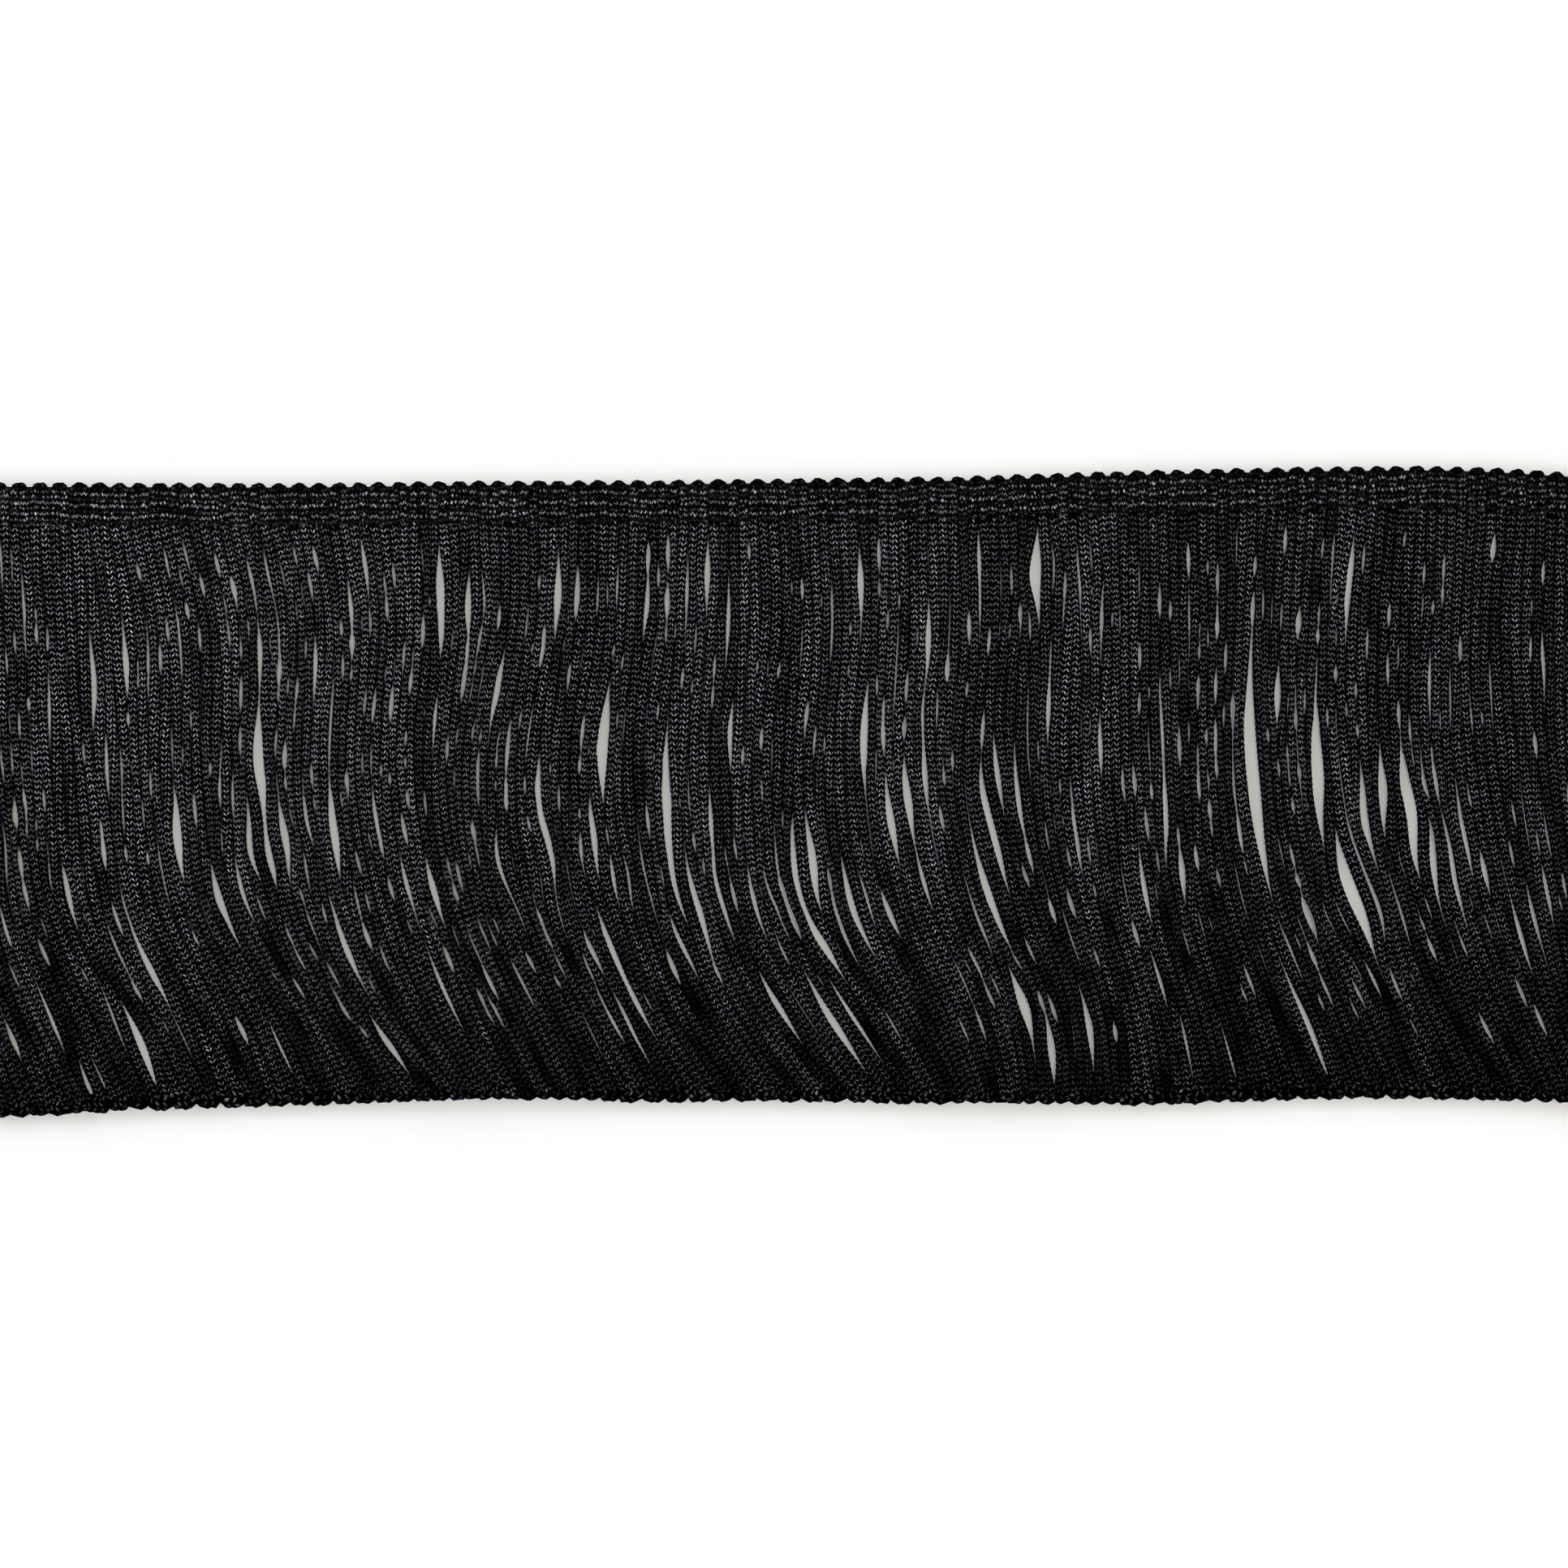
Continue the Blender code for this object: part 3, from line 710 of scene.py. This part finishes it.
def knitted_rayon(name, colours, legs, slant):
    """Viscose rayon yarn, spun bright and dyed black.

    Its filaments flash where a stitch stands up, and the hollows stay nearly black: the
    flashes are painted highlights, thin grey strokes on black in the base colour. The
    "stitches" map counts stitches along the yarn, so the strokes keep the real stitch length.
    The "light" map holds painted light and shade, how much light a stretch of it gets, and
    how that one cord differs from the next.
    """
    material, tree, shader = new_material(name, 0.45, 0)
    stitches = add_node(tree, "ShaderNodeUVMap", uv_map="stitches")
    light = add_node(tree, "ShaderNodeUVMap", uv_map="light")
    place = add_node(tree, "ShaderNodeSeparateXYZ", links={0: (stitches, 0)})
    lit = add_node(tree, "ShaderNodeSeparateXYZ", links={0: (light, 0)})
    lean = add_node(tree, "ShaderNodeMath", {1: slant}, {0: (place, 1)}, operation="MULTIPLY")
    at = add_node(tree, "ShaderNodeMath", links={0: (place, 0), 1: (lean, 0)}, operation="ADD")
    row = add_node(tree, "ShaderNodeMath", links={0: (at, 0)}, operation="ROUND")
    leg_of = add_node(tree, "ShaderNodeMath", {1: legs}, {0: (place, 1)}, operation="MULTIPLY")
    leg_of = add_node(tree, "ShaderNodeMath", links={0: (leg_of, 0)}, operation="FLOOR")
    cell = add_node(
        tree, "ShaderNodeCombineXYZ", links={0: (row, 0), 1: (leg_of, 0), 2: (lit, 1)},
    )
    dice = add_node(tree, "ShaderNodeTexWhiteNoise", links={0: (cell, 0)}, noise_dimensions="3D")
    throws = add_node(tree, "ShaderNodeSeparateXYZ", links={0: (dice, 1)})
    # No stitch is quite level with the next
    shift = add_node(tree, "ShaderNodeMapRange", {3: -0.2, 4: 0.2}, {0: (throws, 0)})
    turn = add_node(tree, "ShaderNodeMath", links={0: (at, 0), 1: (shift, 0)}, operation="ADD")
    turn = add_node(tree, "ShaderNodeMath", {1: 2 * pi}, {0: (turn, 0)}, operation="MULTIPLY")
    wave = add_node(tree, "ShaderNodeMath", links={0: (turn, 0)}, operation="COSINE")
    crest = add_node(tree, "ShaderNodeMapRange", {1: -1, 2: 1}, {0: (wave, 0)})
    crest = add_node(tree, "ShaderNodeMath", {1: 9}, {0: (crest, 0)}, operation="POWER")
    round_it = add_node(
        tree, "ShaderNodeMath", {1: legs * pi}, {0: (place, 1)}, operation="MULTIPLY",
    )
    side = add_node(tree, "ShaderNodeMath", links={0: (round_it, 0)}, operation="SINE")
    side = add_node(tree, "ShaderNodeMath", links={0: (side, 0)}, operation="ABSOLUTE")
    leg = add_node(tree, "ShaderNodeMapRange", {1: 0.4, 2: 0.95}, {0: (side, 0)})
    each = add_node(tree, "ShaderNodeMath", {1: 2.0}, {0: (dice, 0)}, operation="POWER")
    each = add_node(tree, "ShaderNodeMapRange", {3: 0.8, 4: 1.5}, {0: (each, 0)})
    # Bundles of filaments within a stitch, about 0.35 mm wide, that break up the painted
    # highlights
    strands = add_node(
        tree, "ShaderNodeCombineXYZ", links={0: (place, 0), 1: (place, 1), 2: (lit, 1)},
    )
    strands = add_node(
        tree, "ShaderNodeVectorMath", {1: (4, 17, 90)}, {0: (strands, 0)}, operation="MULTIPLY",
    )
    fleck = add_node(
        tree, "ShaderNodeTexNoise", {"Scale": 1, "Detail": 1}, {"Vector": (strands, 0)},
    )
    fleck = add_node(
        tree, "ShaderNodeMapRange", {1: 0.35, 2: 0.65, 3: 0.7, 4: 1.4}, {0: (fleck, 0)},
    )
    # The stroke along each leg is a painted highlight; the same stroke also raises the bump
    stroke = add_node(
        tree, "ShaderNodeMath", links={0: (crest, 0), 1: (leg, 0)}, operation="MULTIPLY",
    )
    # How much painted highlight shows: the stroke, its strength for each leg, the filament
    # bundles, and the painted light and shade of the light map
    highlight_amount = stroke
    for share in ((each, 0), (fleck, 0), (lit, 0)):
        highlight_amount = add_node(
            tree, "ShaderNodeMath", links={0: (highlight_amount, 0), 1: share}, operation="MULTIPLY",
        )
    # Colour of the painted highlights: grey, a random share of them warmer
    warm = add_node(
        tree, "ShaderNodeMix", {6: (*colours.lit, 1), 7: (*colours.lit_warm, 1)}, {0: (throws, 1)},
        data_type="RGBA",
    )
    colour = add_node(
        tree, "ShaderNodeMix", {6: (*colours.deep, 1)}, {0: (highlight_amount, 0), 7: (warm, 2)},
        data_type="RGBA", clamp_factor=False,
    )
    relief = add_node(tree, "ShaderNodeBump", {0: 0.5, 1: 0.15 * MM}, {"Height": (stroke, 0)})
    tree.links.new(colour.outputs[2], shader.inputs["Base Color"])
    tree.links.new(relief.outputs[0], shader.inputs["Normal"])
    return material


def knitted_ground():
    """Polyester warp-knit ground, dyed black: a close, matt, even net under the cords."""
    material, tree, shader = new_material("polyester_warp_knit_black", 0.7, 0.1)
    place = add_node(tree, "ShaderNodeTexCoord")
    # One stitch each 0.8 mm, in rows along the trim
    rows = add_node(
        tree, "ShaderNodeTexWave", {1: 390, 2: 2.0, 3: 1}, {0: (place, 3)}, bands_direction="Y",
    )
    deep, lit = linear("#020203"), linear("#0c0c0e")
    colour = add_node(
        tree, "ShaderNodeMix", {6: (*deep, 1), 7: (*lit, 1)}, {0: (rows, 1)}, data_type="RGBA",
    )
    relief = add_node(tree, "ShaderNodeBump", {0: 0.4, 1: 0.1 * MM}, {"Height": (rows, 1)})
    tree.links.new(colour.outputs[2], shader.inputs["Base Color"])
    tree.links.new(relief.outputs[0], shader.inputs["Normal"])
    return material


def white_board(colour):
    """Matt white card on the table: it gives the eye nothing but a clean, even white."""
    material, tree, shader = new_material("paper_card_white", 0.9, 0.2)
    place = add_node(tree, "ShaderNodeTexCoord")
    # Fibres of the card, drawn 8 mm wide so that they show at all
    fibre = add_node(
        tree, "ShaderNodeTexNoise", {"Scale": 120, "Detail": 3}, {"Vector": (place, 3)},
    )
    tone = add_node(tree, "ShaderNodeMapRange", {1: 0.3, 2: 0.7, 3: 0.99, 4: 1.0}, {0: (fibre, 0)})
    shade = add_node(
        tree, "ShaderNodeMix", {0: 1.0, 6: (*colour, 1)}, {7: (tone, 0)}, data_type="RGBA",
        blend_type="MULTIPLY",
    )
    tree.links.new(shade.outputs[2], shader.inputs["Base Color"])
    return material


# Painted light that a stretch of cord gets

def light_on(x, y):
    """How strongly the painted highlights on the stitches show: most at the heading's left, least
    at the hem's right.
    """
    down = np.clip((-y - DIM_BELOW) / DIM_OVER, 0, 1)
    right = np.clip(x / TRIM_LENGTH + 0.5, 0, 1)
    return (1 - DIM_DOWN * down) * (DIM_AT_LEFT - DIM_RIGHT * right)


# Operators

class FRINGE_OT_cords(bpy.types.Operator):
    """Lay the free cords below the heading, joined in pairs by their turns at the hem"""

    bl_idname = "fringe.cords"
    bl_label = "Cords"

    def execute(self, context):
        settings = context.scene.fringe_cords
        chance = random.Random(settings.seed)
        lines = cord_lines(chance, settings)
        paths = [lines[:, 0]]
        for k in range(1, CORD_COUNT - 1, 2):
            a, b = lines[:, k], lines[:, k + 1]
            turn = turned(a[-1], heading_of(a), b[-1], -heading_of(b), HEM_TURN_REACH)
            paths.append(np.concatenate([a, turn, b[::-1]]))
        paths.append(lines[:, -1])
        tubes = []
        for path in paths:
            path = evenly(lengthened(path, chance, settings.stitch), settings.stitch / 2)
            along = np.arange(len(path)) / 2
            wave = chance.uniform(*CORD_TWIST_LENGTHS) * MM / (settings.stitch / 2)
            turn = np.sin(2 * pi * np.arange(len(path)) / wave + chance.uniform(0, 2 * pi))
            turn = CORD_TWIST * turn + chance.uniform(-2 * pi / AROUND, 2 * pi / AROUND)
            bright = (path[:, 5] * chance.uniform(*CORD_SHINES), chance.random())
            tubes.append((knitted_tube(path, turn, AROUND), along, bright))
        material = knitted_rayon("rayon_chainette_black", context.scene.fringe_yarn, AROUND, 0)
        size = -(-len(tubes) // CORD_BUNCHES)
        for bunch in range(CORD_BUNCHES):
            some = tubes[bunch * size:(bunch + 1) * size]
            name = f"cords_{bunch + 1}"
            piece(name, tube_mesh(name, some), material, "cord_yarn", "fringe")
        return {"FINISHED"}


def heading_turn(x, chance, settings, step):
    """One turn of the cord through the heading: up one leg, over the crown and down."""
    ys = np.linspace(LEG_FOOT, LEG_TOP, LEG_POINTS)
    bound = np.zeros(len(ys))
    for level in BINDING_LEVELS:
        bound = np.maximum(bound, np.exp(-((ys - level) / BOUND_HALF) ** 2))
    crown = np.clip((ys - CROWN_FROM) / CROWN_OVER, 0, 1)
    widths = settings.rib_width + (settings.bound_width - settings.rib_width) * bound
    widths += (CROWN_WIDTH - widths) * crown
    # Under the last binding row each leg runs down into the free cord that goes on from it
    sunk = np.clip((SINKS_BELOW - ys) / SINKS_OVER, 0, 1)
    heights = LEG_HEIGHT - BOUND_DOWN * bound - CROWN_DOWN * crown - SUNK_DOWN * sunk
    legs = []
    for side in (-1, 1):
        xs = x + side * (CORD_PITCH / 2 - CROWN_PULL * crown)
        xs = xs + LEG_WANDER * np.sin(ys / LEG_WANDER_LENGTH + chance.uniform(0, 2 * pi))
        zs = LEG_LEVEL * (1 - sunk) + heights / 2
        legs.append(np.stack([xs, ys, zs, widths, heights], axis=-1))
    a, b = legs
    turn = turned(a[-1], heading_of(a), b[-1], -heading_of(b), CROWN_REACH, CROWN_POINTS)
    path = lengthened(np.concatenate([a, turn, b[::-1]]), chance, 2 * step)
    # No foot reaches below the table
    path[:, 2] = np.maximum(path[:, 2], path[:, 4] / 2)
    path = evenly(path, step)
    path[:, 1] += float(heading_rise(x))
    return path


def ground_mesh(width, top):
    """A thin strip that follows the heading, with a stitch-high waviness."""
    xs = np.linspace(-TRIM_LENGTH / 2, TRIM_LENGTH / 2, GROUND_GRID[0])
    ys = np.linspace(top, top - width, GROUND_GRID[1])
    grid_x, grid_y = np.meshgrid(xs, ys, indexing="ij")
    wave = GROUND_WAVE * np.sin(grid_x / GROUND_WAVE_X) * np.cos(grid_y / GROUND_WAVE_Y)
    points = np.stack([grid_x, grid_y + heading_rise(grid_x), GROUND_LEVEL + wave], axis=-1)
    corner = (np.arange(len(xs) - 1)[:, None] * len(ys) + np.arange(len(ys) - 1)[None, :]).ravel()
    faces = np.stack([corner, corner + len(ys), corner + len(ys) + 1, corner + 1], axis=-1)
    mesh = bpy.data.meshes.new("heading_ground")
    mesh.from_pydata(points.reshape(-1, 3).tolist(), [], faces.tolist())
    mesh.shade_smooth()
    return mesh


class FRINGE_OT_heading(bpy.types.Operator):
    """Lay the cord to and fro through the heading, over its thin knitted ground"""

    bl_idname = "fringe.heading"
    bl_label = "Heading"

    def execute(self, context):
        settings = context.scene.fringe_heading
        chance = random.Random(context.scene.fringe_cords.seed + 1)
        step = context.scene.fringe_cords.stitch / 2
        tubes = []
        for k in range(SCALLOP_COUNT):
            x = (k - (SCALLOP_COUNT - 1) / 2) * SCALLOP_PITCH
            path = heading_turn(x, chance, settings, step)
            turn = np.array([chance.uniform(*LEG_TURNS) for _ in range(len(path))])
            # Painted shade over the top of each crown, where it gets few painted highlights
            above = path[:, 1] - float(heading_rise(x)) - CROWN_SHADE_FROM
            crown = np.clip(above / CROWN_SHADE_OVER, 0, 1)
            shine = HEADING_SHINE * light_on(path[:, 0], path[:, 1])
            shine = shine * chance.uniform(*HEADING_SHINES)
            bright = (shine * (1 - CROWN_SHADE * crown), chance.random())
            rings = knitted_tube(path, turn, AROUND_HEADING)
            tubes.append((rings, np.arange(len(path)) / 2, bright))
        colours = context.scene.fringe_yarn
        material = knitted_rayon("rayon_chainette_black_heading", colours, AROUND_HEADING, 0)
        mesh = tube_mesh("heading_cords", tubes, SIDE_SHADE_HEADING)
        cords = piece("heading_cords", mesh, material, "cord_yarn", "heading")
        width = settings.ground_width
        ground = piece(
            "heading_ground", ground_mesh(width, GROUND_TOP), knitted_ground(),
            "binding_yarn", "heading",
        )
        skin = ground.modifiers.new("thickness", "SOLIDIFY")
        skin.thickness = GROUND_THICKNESS
        return {"FINISHED"}


class FRINGE_OT_binding(bpy.types.Operator):
    """Work the three rows of binding stitches, an eye of two strands between every two cords"""

    bl_idname = "fringe.binding"
    bl_label = "Binding rows"

    def execute(self, context):
        strand = context.scene.fringe_heading.strand
        chance = random.Random(context.scene.fringe_cords.seed + 2)
        colours = context.scene.fringe_yarn
        material = knitted_rayon("rayon_binding_thread_black", colours, 3, 1)
        steps = BINDING_STEPS
        xs = np.linspace(-TRIM_LENGTH / 2, TRIM_LENGTH / 2, CORD_COUNT * steps + 1)
        for row, level in enumerate(BINDING_LEVELS):
            tubes = []
            shift, tall = (
                np.interp(xs, xs[::steps], [chance.uniform(*span) * MM for _ in xs[::steps]])
                for span in (BINDING_SHIFTS, BINDING_RISES)
            )
            for side in (-1, 1):
                eye = EYE_FULLNESS * np.cos(pi * (xs + shift) / CORD_PITCH) ** 2
                eye = np.clip(eye, 0, 1)
                wander = np.interp(
                    xs, xs[::steps], [chance.uniform(*BINDING_WANDER) * MM for _ in xs[::steps]],
                )
                ys = level + heading_rise(xs) + side * tall * eye + wander
                zs = BINDING_LEVEL - BINDING_DIP * eye + side * BINDING_CROSSING * (1 - eye)
                size = np.full(len(xs), strand)
                path = np.stack([xs, ys, zs, size, size], axis=-1)
                # Painted highlight: a strand is painted brighter where it runs along the cords
                # than where it runs across them
                steep = np.clip(np.abs(np.gradient(ys, xs)) / STEEPEST, 0, 1) ** STEEP_POWER
                glint = [chance.uniform(*BINDING_GLINTS) for _ in xs[::steps]]
                glint = np.repeat(glint, steps)[:len(xs)]
                shine = FLAT_SHINE + (1 - FLAT_SHINE) * steep
                shine = BINDING_SHINE * light_on(xs, ys) * shine * glint
                # One painted highlight stroke runs along the strand's top, a quarter of the way
                # round it
                along = np.full(len(path), -0.25)
                rings = plain_tube(path, BINDING_AROUND)
                tubes.append((rings, along, (shine, chance.random())))
            name = f"binding_chain_{row + 1}"
            piece(name, tube_mesh(name, tubes), material, "binding_yarn", f"binding_row_{row + 1}")
        return {"FINISHED"}


def area_light(name, place, aim, size, power, colour):
    data = bpy.data.lights.new(name, "AREA")
    data.shape = "RECTANGLE"
    data.size, data.size_y = size
    data.energy = power
    data.color = colour
    light = bpy.data.objects.new(name, data)
    light.location = place
    light.rotation_euler = (Vector(aim) - Vector(place)).to_track_quat("-Z", "Y").to_euler()
    bpy.context.scene.collection.objects.link(light)


class FRINGE_OT_stage(bpy.types.Operator):
    """Set the white table, the soft light and the camera straight above"""

    bl_idname = "fringe.stage"
    bl_label = "Stage"

    def execute(self, context):
        scene = context.scene
        settings = scene.fringe_stage
        half = TABLE_HALF
        mesh = bpy.data.meshes.new("table")
        corners = [(-half, -half, 0), (half, -half, 0), (half, half, 0), (-half, half, 0)]
        mesh.from_pydata(corners, [], [(0, 1, 2, 3)])
        mesh.materials.append(white_board(settings.table))
        table = bpy.data.objects.new("table", mesh)
        scene.collection.objects.link(table)
        for name, lean, power, colour in (
            ("overhead_warm", 16, settings.warm_light, (1.0, 0.82, 0.6)),
            ("overhead_cool", -6, settings.cool_light, (0.9, 0.95, 1.0)),
        ):
            away = Vector((sin(radians(lean)), 0, cos(radians(lean)))) * LIGHT_AWAY
            area_light(name, Vector(LOOKED_AT) + away, LOOKED_AT, LIGHT_SIZE, power, colour)
        world = bpy.data.worlds.new("light_all_round")
        world.use_nodes = True
        tree = world.node_tree
        toward = add_node(tree, "ShaderNodeTexCoord")
        level = add_node(tree, "ShaderNodeSeparateXYZ", links={0: (toward, 0)})
        low, high = (sin(radians(angle)) for angle in SKY_BAND)
        near, far = settings.round_light, settings.round_light * settings.zenith
        strength = add_node(
            tree, "ShaderNodeMapRange", {1: low, 2: high, 3: near, 4: far}, {0: (level, 2)},
            interpolation_type="SMOOTHSTEP",
        )
        # A little more comes from beyond the heading
        beyond = add_node(
            tree, "ShaderNodeMapRange", {1: -1, 2: 1, 3: 0.7, 4: 1.3}, {0: (level, 1)},
        )
        strength = add_node(
            tree, "ShaderNodeMath", links={0: (strength, 0), 1: (beyond, 0)}, operation="MULTIPLY",
        )
        background = tree.nodes["Background"]
        background.inputs["Color"].default_value = (0.97, 0.985, 1, 1)
        tree.links.new(strength.outputs[0], background.inputs["Strength"])
        scene.world = world
        scene.view_settings.view_transform = "Standard"
        data = bpy.data.cameras.new("camera")
        data.lens = 100
        data.sensor_width = 36
        camera = bpy.data.objects.new("camera", data)
        camera.location = (LOOKED_AT[0], LOOKED_AT[1], settings.camera_height)
        scene.collection.objects.link(camera)
        scene.camera = camera
        return {"FINISHED"}


class FRINGE_PT_panel(bpy.types.Panel):
    """Lists the fringe trim's pieces and their sizes"""

    bl_idname = "FRINGE_PT_panel"
    bl_label = "Chainette fringe"
    bl_space_type = "VIEW_3D"
    bl_region_type = "UI"
    bl_category = "Fringe"

    def draw(self, context):
        scene = context.scene
        for label, group, names, operators in (
            (
                "Cords", scene.fringe_cords,
                ("height", "stitch", "small_slits", "specks", "seed"), ("cords",),
            ),
            (
                "Heading", scene.fringe_heading,
                ("rib_width", "bound_width", "ground_width", "strand"), ("heading", "binding"),
            ),
            ("Yarn", scene.fringe_yarn, ("lit", "lit_warm", "deep"), ()),
            (
                "Stage", scene.fringe_stage,
                ("table", "round_light", "zenith", "warm_light", "cool_light", "camera_height"),
                ("stage",),
            ),
        ):
            box = self.layout.box()
            box.label(text=label)
            for name in names:
                box.prop(group, name)
            for name in operators:
                box.operator("fringe." + name)


GROUPS = {
    "fringe_cords": CordSettings,
    "fringe_heading": HeadingSettings,
    "fringe_yarn": YarnColours,
    "fringe_stage": StageSettings,
}
CLASSES = (
    *GROUPS.values(), FRINGE_OT_cords, FRINGE_OT_heading, FRINGE_OT_binding, FRINGE_OT_stage,
    FRINGE_PT_panel,
)


def register():
    for kind in CLASSES:
        bpy.utils.register_class(kind)
    for name, kind in GROUPS.items():
        setattr(bpy.types.Scene, name, bpy.props.PointerProperty(type=kind))


def unregister():
    for name in GROUPS:
        delattr(bpy.types.Scene, name)
    for kind in reversed(CLASSES):
        bpy.utils.unregister_class(kind)


def main():
    register()
    bpy.ops.fringe.stage()
    bpy.ops.fringe.cords()
    bpy.ops.fringe.heading()
    bpy.ops.fringe.binding()


if __name__ == "__main__":
    main()
